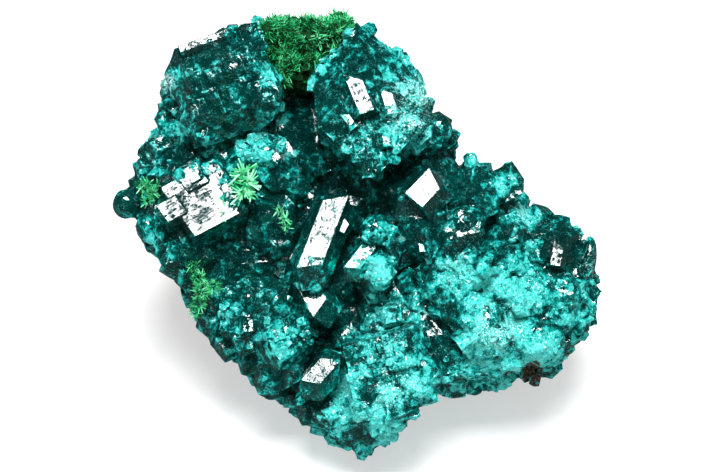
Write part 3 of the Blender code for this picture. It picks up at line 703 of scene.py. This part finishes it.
def sown(carrier, pattern, name, per_mm2, sizes, spread, seed, power=1.0):
    """Copies of a pattern sown over a piece, as closely as its painted drusy numbers say, in one mesh."""
    field = carrier.copy()
    field.data = carrier.data.copy()
    field.name = name
    field.data.materials.clear()
    bpy.context.scene.collection.objects.link(field)
    tree = bpy.data.node_groups.new(name, "GeometryNodeTree")
    tree.interface.new_socket("Mesh", in_out="INPUT", socket_type="NodeSocketGeometry")
    tree.interface.new_socket("Mesh", in_out="OUTPUT", socket_type="NodeSocketGeometry")
    start = node(tree, "NodeGroupInput").outputs[0]
    drusy = node(tree, "GeometryNodeInputNamedAttribute", {"Name": "drusy"}).outputs["Attribute"]
    density = maths(tree, "MULTIPLY", maths(tree, "POWER", drusy, power), per_mm2 / MM**2)
    ground = {"Mesh": start, "Density": density, "Seed": seed}
    spots = node(tree, "GeometryNodeDistributePointsOnFaces", ground)
    turns = {"Min": (-spread, -spread, -math.pi), "Max": (spread, spread, math.pi), "Seed": seed + 1}
    turn = node(tree, "FunctionNodeRandomValue", turns, data_type="FLOAT_VECTOR").outputs["Value"]
    stances = {"Rotation": spots.outputs["Rotation"], "Rotate By": turn}
    stance = node(tree, "FunctionNodeRotateRotation", stances, rotation_space="LOCAL").outputs["Rotation"]
    grade = node(tree, "FunctionNodeRandomValue", {"Seed": seed + 2}).outputs[1]
    grade = maths(tree, "POWER", grade, FEWER_LARGE)
    lengths = {"Value": grade, "To Min": sizes[0] * MM, "To Max": sizes[1] * MM}
    length = node(tree, "MapRange", lengths).outputs["Result"]
    shape = node(tree, "GeometryNodeObjectInfo", {"Object": pattern}).outputs["Geometry"]
    copies = {"Points": spots.outputs["Points"], "Instance": shape, "Rotation": stance, "Scale": length}
    copies = node(tree, "GeometryNodeInstanceOnPoints", copies).outputs[0]
    shade = node(tree, "FunctionNodeRandomValue", {"Seed": seed + 3}).outputs[1]
    shaded = {"Geometry": copies, "Name": "tint", "Value": shade}
    shaded = node(tree, "GeometryNodeStoreNamedAttribute", shaded, domain="INSTANCE").outputs[0]
    real = node(tree, "GeometryNodeRealizeInstances", {0: shaded}).outputs[0]
    node(tree, "NodeGroupOutput", {0: real})
    growth = field.modifiers.new("sown", "NODES")
    growth.node_group = tree
    select_only(field)
    bpy.ops.object.modifier_apply(modifier=growth.name)
    return field


low_crystal = pattern_crystal("low_crystal")
low_crystal.data.transform(Matrix.Translation((0, 0, DRUSE_TIP)))
low_crystal.data.materials.append(dioptase("drusy_dioptase", DRUSE_SHADES))
druse = sown(
    cluster, low_crystal, "drusy_crystals", DRUSE_PER_MM2, DRUSE_SIZES, DRUSE_SPREAD, seed=5, power=1.5
)
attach(druse, "root")

# Malachite sprays.
# Four tufts of fine silky malachite needles that grew out from small hearts on the crystals. Each needle
# is a slender four-sided rod, a little narrower at its end.

# Each tuft: its hearts as across, up, out and radius, then the longest needle in millimetres, how many
# needles grow on a square millimetre, how far they lean in radians, and how much paler they are.
SPRAYS = {
    "malachite_spray_centre": (
        [
            (-10.9, 6.1, 5.4, 0.5), (-10.5, 5.2, 5.7, 0.5), (-10.9, 4.3, 5.4, 0.4),
            (-10.2, 4.6, 5.5, 0.3), (-12.6, 2.4, 4.7, 0.16), (-13.4, 3.2, 4.6, 0.12),
        ],
        1.45, 16.0, 0.65, 0.3,
    ),
    "malachite_spray_middle": (
        [(-7.3, 2.6, 5.0, 0.25), (-6.9, 1.6, 5.0, 0.3), (-6.6, 0.8, 5.0, 0.25)],
        0.8, 30.0, 0.9, 0.2,
    ),
    "malachite_spray_left": (
        [(-20.7, 4.9, 3.0, 0.5), (-20.0, 4.2, 3.2, 0.4), (-20.4, 3.5, 3.0, 0.3), (-19.6, 5.0, 3.2, 0.3)],
        0.75, 30.0, 0.9, 0.06,
    ),
    "malachite_spray_lower": (
        [
            (-15.9, -3.0, 3.0, 0.45), (-15.4, -4.2, 3.2, 0.6), (-15.0, -5.4, 3.4, 0.7),
            (-15.4, -6.6, 3.0, 0.6), (-14.0, -5.0, 3.2, 0.5), (-13.2, -5.2, 3.0, 0.35),
            (-15.8, -7.6, 2.4, 0.4), (-16.6, -1.6, 2.8, 0.25),
        ],
        0.62, 26.0, 1.0, 0.06,
    ),
}
SHORTEST_SHARE = 0.35  # of a tuft's longest needle
NEEDLE_FOOT, NEEDLE_END, NEEDLE_LENGTH, NEEDLE_MIDDLE = 0.10, 0.07, 1.1, 0.45  # against its length
MALACHITE_TONES = [
    (0.2, (0.0, 0.05, 0.01)), (0.45, (0.0, 0.35, 0.11)),
    (0.75, (0.12, 0.80, 0.36)), (1.0, (0.42, 0.95, 0.62)),
]
SILKY, EARTHEN = 0.38, 0.9  # roughness of the needles and of the ground between them
SHADINGS, DARKER = 0.9, 0.36  # closeness of the light and dark patches, and what is taken off the tone


def malachite(name, paler=0.0, roughness=SILKY):
    """Silky green fibres, some dark and some pale."""
    finish, tree, shader, in_mm = blank(name)
    mixed = weighted(tree, (painted_on(tree, "tint"), 0.6), (noise_at(tree, in_mm, SHADINGS, 2.0), 1.1))
    mixed = maths(tree, "ADD", mixed, paler - DARKER)
    tree.links.new(ramp(tree, mixed, MALACHITE_TONES), shader.inputs["Base Color"])
    shader.inputs["Roughness"].default_value = roughness
    return finish


bpy.ops.mesh.primitive_cone_add(
    vertices=4, radius1=NEEDLE_FOOT, radius2=NEEDLE_END, depth=NEEDLE_LENGTH,
    location=(0, 0, NEEDLE_MIDDLE),
)
needle = bpy.context.object
needle.name = "needle"
bpy.ops.object.transform_apply(location=True, rotation=True, scale=True)
needle.data.materials.append(None)

for name, (hearts, longest, closeness, spread, paler) in SPRAYS.items():
    balls = []
    for across, up, out, radius in hearts:
        middle = on_face(across, up, out)
        bpy.ops.mesh.primitive_ico_sphere_add(subdivisions=3, radius=radius * MM, location=middle)
        balls.append(bpy.context.object)
    for ball in balls:
        ball.select_set(True)
    bpy.ops.object.join()
    heart = bpy.context.object
    bpy.ops.object.transform_apply(location=True, rotation=True, scale=True)
    layer = heart.data.attributes.new("drusy", "FLOAT", "POINT")
    for item in layer.data:
        item.value = 1.0
    needle.data.materials[0] = malachite(name + "_fibre", paler)
    lengths = (longest * SHORTEST_SHARE, longest)
    tuft = sown(heart, needle, name + "_needles", closeness, lengths, spread, seed=21)
    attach(tuft, "root")
    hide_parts(name)
    bpy.data.objects.remove(heart)

# Malachite mat.
# A wide mat of finer malachite needles that fills the gap between the two large crystals at the top. It
# swells in places, and its back is sunk into the crust.

# Where the mat swells, and below nought where it sinks and is nearly bare, its near-black ground showing as
# painted shade: across, up, reach and how much.
MAT_HUMPS = [
    (-7.2, 20.6, 2.0, 0.8), (-2.4, 21.2, 2.0, 0.6), (-4.8, 20.4, 1.0, -0.5), (-6.6, 17.0, 1.8, 0.5),
    (-3.4, 18.4, 1.4, 0.3), (-4.4, 15.6, 1.6, -0.9), (-5.0, 13.6, 2.0, -0.9),
]
MAT_EDGE = 0.45  # edges longer than this are split, in millimetres
MAT_SWELLS = [(0.5, 0.8), (0.9, 0.9)]  # closeness per millimetre, and height
MAT_NEEDLES, MAT_LENGTHS, MAT_SPREAD = 34.0, (0.25, 0.85), 0.75  # per mm2, millimetres and radians
FINER = 0.72  # the mat's needles against the sprays'
MAT_COVER, COVER_GAIN, LEAST_COVER = 0.4, 1.8, 0.02  # share of the needles, more where the mat swells
MAT_PUSH, MAT_SET_BACK = 0.9, 0.3  # how far it swells out, and how far it lies back, in millimetres
SUNK_IN = 1.3  # how far the back of the mat reaches into the crust, in millimetres

mat = copy_of_node("malachite_mat", "malachite_mat_core")
needle.data.materials[0] = malachite("malachite_mat_fibre")
needle.data.transform(Matrix.Diagonal((FINER, FINER, 1.0, 1.0)))
# The ground under the mat's needles is malachite green darkened to near black: painted shade that makes the
# bare hollows read as deep gaps.
mat.data.materials.append(malachite("malachite_mat_ground", -0.1, EARTHEN))
split_long_edges(mat, MAT_EDGE)
paint(mat, "hump", MAT_HUMPS, 0.0, 0.0)
humps = [item.value for item in mat.data.attributes["hump"].data]
layer = mat.data.attributes.new("drusy", "FLOAT", "POINT")
pushes = [vertex.normal.copy() for vertex in mat.data.vertices]
for vertex, item, push, hump in zip(mat.data.vertices, layer.data, pushes, humps):
    place = vertex.co / MM
    rise = sum(height * noise.noise(place * closeness) for closeness, height in MAT_SWELLS) + hump
    item.value = between(MAT_COVER + COVER_GAIN * rise, LEAST_COVER)
    if push.dot(OUTWARD) > 0.0:
        vertex.co += push * (rise * MAT_PUSH - MAT_SET_BACK) * MM
    else:
        vertex.co -= OUTWARD * SUNK_IN * MM
mat_needles = sown(
    mat, needle, "malachite_mat_needles", MAT_NEEDLES, MAT_LENGTHS, MAT_SPREAD, seed=23
)
for piece in (mat, mat_needles):
    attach(piece, "root")
    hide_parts("malachite_mat")

# Matrix.
# The brown rock that the crystals grew on, broken rough and stained by iron and copper. Its foot is cut
# flat, and the specimen stands on it.

ROCK_EDGE = 0.7  # edges longer than this are split, in millimetres
FOOT_HEIGHT = 0.3  # the rock stays smooth up to here, in millimetres
LUMPS, LUMP_HEIGHT = 0.42, 0.7  # closeness per millimetre, and height
GRAIN, GRAIN_HEIGHT = 1.7, 0.2
SET_BACK = 0.3  # how far the surface lies back before it is broken, in millimetres
BLOTCHES, STAINS, GRIT, CHIPS = 0.14, 0.3, 3.5, 0.9  # closeness of the colours, per millimetre
ROCK_ROUGHNESS, GRIT_DEPTH = 0.85, 0.25  # the depth in millimetres
ROCK_TONES = [
    (0.3, (0.012, 0.009, 0.008)), (0.45, (0.075, 0.045, 0.032)), (0.58, (0.20, 0.125, 0.085)),
    (0.72, (0.45, 0.34, 0.25)),
]
RUST, SOOT, COPPER_STAIN = (0.17, 0.06, 0.025, 1), (0.015, 0.013, 0.012, 1), (0.03, 0.22, 0.15, 1)


def rock(name):
    """Brown rock, black and rusty in patches, stained green by the copper minerals."""
    finish, tree, shader, in_mm = blank(name)
    broad = noise_at(tree, in_mm, BLOTCHES, 6.0, 0.6)
    stain = noise_at(tree, in_mm, STAINS, 5.0, 0.7)
    grit = noise_at(tree, in_mm, GRIT, 6.0, 0.75)
    chip_tone = node(tree, "SeparateColor", {0: cells(tree, in_mm, CHIPS)}).outputs[0]
    coloured = ramp(tree, weighted(tree, (grit, 0.8), (chip_tone, 0.16)), ROCK_TONES)
    coloured = mix_colour(tree, smooth_step(tree, broad, 0.48, 0.66, 0.0, 0.8), coloured, RUST)
    coloured = mix_colour(tree, smooth_step(tree, broad, 0.46, 0.34, 0.0, 0.8), coloured, SOOT)
    coloured = mix_colour(tree, smooth_step(tree, stain, 0.56, 0.68, 0.0, 0.7), coloured, COPPER_STAIN)
    tree.links.new(coloured, shader.inputs["Base Color"])
    shader.inputs["Roughness"].default_value = ROCK_ROUGHNESS
    relief = node(tree, "Bump", {"Height": grit, "Distance": GRIT_DEPTH * MM, "Strength": 0.9})
    tree.links.new(relief.outputs[0], shader.inputs["Normal"])
    return finish


matrix = copy_of_node("matrix_rock", "matrix_of_brown_rock")
matrix.data.materials.append(rock("brown_rock"))
split_long_edges(matrix, ROCK_EDGE)
pushes = [vertex.normal.copy() for vertex in matrix.data.vertices]
for vertex, push in zip(matrix.data.vertices, pushes):
    if vertex.co.z > FOOT_HEIGHT * MM:
        place = vertex.co / MM
        nearest = noise.voronoi(place * LUMPS)[0]
        lump = (nearest[1] - nearest[0]) * LUMP_HEIGHT
        vertex.co += push * (lump + noise.noise(place * GRAIN) * GRAIN_HEIGHT - SET_BACK) * MM
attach(matrix, "root")
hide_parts("matrix_rock")

# The patterns that the pieces were made with are taken away.
for leftover in (bare_cluster, crystal, low_crystal, needle):
    bpy.data.objects.remove(leftover)
